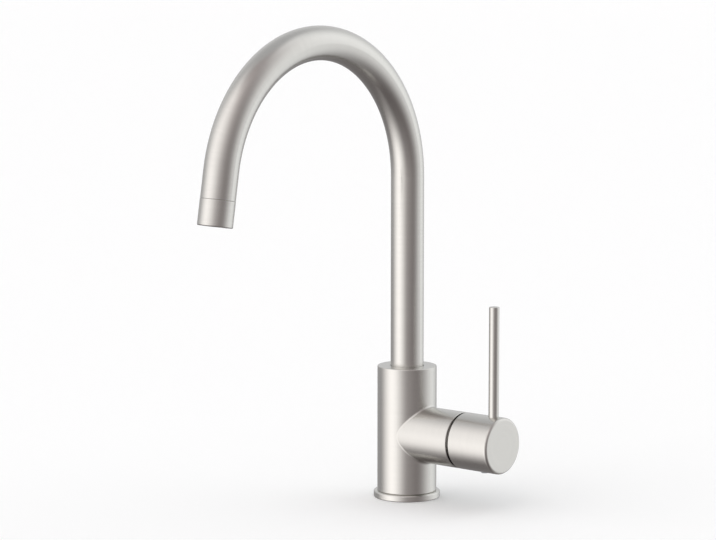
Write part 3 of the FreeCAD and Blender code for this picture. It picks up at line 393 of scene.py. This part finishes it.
def light_studio():
    """The light from each direction: boxes by bearing and height, the backdrop behind, and the fill."""
    world = bpy.data.worlds.new("studio")
    bpy.context.scene.world = world
    world.use_nodes = True
    tree = world.node_tree
    tree.nodes.clear()
    ray = add(tree, "TexCoord").outputs["Generated"]
    height = add(tree, "SeparateXYZ", Vector=ray).outputs[2]
    near, right = (add(tree, "VectorMath", {"operation": "DOT_PRODUCT"}, in_0=ray, in_1=way).outputs["Value"]
                   for way in (toward_camera, to_the_right))
    bearing = add(tree, "Math", {"operation": "ARCTAN2"}, in_0=right, in_1=near).outputs[0]
    ahead = add(tree, "Math", {"operation": "COSINE"}, in_0=bearing).outputs[0]
    behind = add(tree, "MapRange", Value=ahead, From_Min=1.0, From_Max=-1.0).outputs[0]
    turn = add(tree, "MapRange", Value=bearing, From_Min=-math.pi, From_Max=math.pi).outputs[0]
    rise = add(tree, "MapRange", Value=height, From_Min=-1.0, From_Max=1.0).outputs[0]
    low, high = (add(tree, "ValToRGB", {"stops": [(degrees / 360 + 0.5, level) for degrees, level in stops]},
                     Fac=turn).outputs[0] for stops in (BOXES_LOW, BOXES_HIGH))
    tall, pale, fill = (add(tree, "ValToRGB", {"stops": [(up / 2 + 0.5, level) for up, level in stops]},
                            Fac=rise).outputs[0] for stops in (BOX_HEIGHT, BACKDROP, FILL))

    higher = add(tree, "MapRange", Value=height, From_Min=LOW, From_Max=HIGH).outputs[0]
    boxes = add(tree, "Mix", {"data_type": "RGBA"}, in_0=higher, in_6=low, in_7=high).outputs[2]
    sided = add(tree, "Mix", {"data_type": "RGBA"}, in_0=turn, in_6=LEFT_TINT, in_7=RIGHT_TINT).outputs[2]
    boxes = add(tree, "VectorMath", {"operation": "MULTIPLY"}, in_0=boxes, in_1=sided).outputs[0]
    lit = add(tree, "VectorMath", {"operation": "MULTIPLY"}, in_0=boxes, in_1=tall).outputs[0]
    lit = add(tree, "VectorMath", {"operation": "MULTIPLY_ADD"}, in_0=pale, in_1=behind, in_2=lit).outputs[0]
    level_up = add(tree, "MapRange", Value=height, From_Min=-1.0, From_Max=0.0).outputs[0]
    cool = add(tree, "Math", {"operation": "MULTIPLY"}, in_0=behind, in_1=level_up).outputs[0]
    tone = add(tree, "Mix", {"data_type": "RGBA"}, in_0=cool, in_6=WARM_FILL, in_7=COOL_FILL).outputs[2]
    lit = add(tree, "VectorMath", {"operation": "MULTIPLY_ADD"}, in_0=fill, in_1=tone, in_2=lit).outputs[0]
    glow = add(tree, "Background", Color=lit)
    add(tree, "OutputWorld", Surface=glow.outputs[0])


# Overhead lamp, a wide soft box that leaves only a soft shadow.
LAMP_WIDTH = math.radians(90)
LAMP_ENERGY = 0.73


def hang_lamp():
    """The overhead soft box, which isn't seen in the metal."""
    lamp_data = bpy.data.lights.new("overhead_soft_box", "SUN")
    lamp_data.angle = LAMP_WIDTH
    lamp_data.energy = LAMP_ENERGY
    lamp = bpy.data.objects.new("overhead_soft_box", lamp_data)
    lamp.visible_glossy = False
    bpy.context.scene.collection.objects.link(lamp)


# Floor: flat all round and then swept up, in metres and degrees, just under the base.
FLAT, SWEEP, SWEEP_TURN = 12.0, 6.0, 75.0
ROWS, COLUMNS = 26, 96
CENTRE = 0.02
FLOOR_DROP = 0.1 * MM
PAPER = "#FAFCFC"


def lay_floor():
    """Matt white paper, a surface of revolution seen from its upper side only.

    Its profile runs level from near the centre and then up an arc: out by the sweep's radius times the sine
    of the climb, and up by that radius times one less the cosine. Rows of the grid follow the profile,
    columns go round, and one face closes the centre.
    """
    climb = np.radians(np.concatenate([[0.0], np.linspace(0.0, SWEEP_TURN, ROWS)]))
    reach = np.concatenate([[CENTRE], FLAT + SWEEP * np.sin(climb[1:])])
    level = SWEEP * (1 - np.cos(climb)) - FLOOR_DROP
    angle = np.linspace(0.0, 2 * math.pi, COLUMNS, endpoint=False)
    grid = np.stack([np.outer(reach, np.cos(angle)), np.outer(reach, np.sin(angle)),
                     np.repeat(level[:, None], COLUMNS, 1)], -1).reshape(-1, 3)
    row, column = np.divmod(np.arange(ROWS * COLUMNS), COLUMNS)
    inner, beside = row * COLUMNS + column, row * COLUMNS + (column + 1) % COLUMNS
    strips = np.stack([inner, inner + COLUMNS, beside + COLUMNS, beside], -1)
    mesh = bpy.data.meshes.new("floor")
    mesh.from_pydata(grid.tolist(), [], strips.tolist() + [list(range(COLUMNS))])
    mesh.polygons.foreach_set("use_smooth", [True] * len(mesh.polygons))
    floor = bpy.data.objects.new("floor", mesh)
    bpy.context.scene.collection.objects.link(floor)

    material, tree, output = new_material("matt_white_paper")
    paper = add(tree, "BsdfDiffuse", Color=linear(PAPER)).outputs[0]
    clear = add(tree, "BsdfTransparent").outputs[0]
    under = add(tree, "NewGeometry").outputs["Backfacing"]
    mix = add(tree, "MixShader", in_0=under, in_1=paper, in_2=clear)
    tree.links.new(mix.outputs[0], output.inputs[0])
    mesh.materials.append(material)
    floor.visible_glossy = False


light_studio()
hang_lamp()
lay_floor()
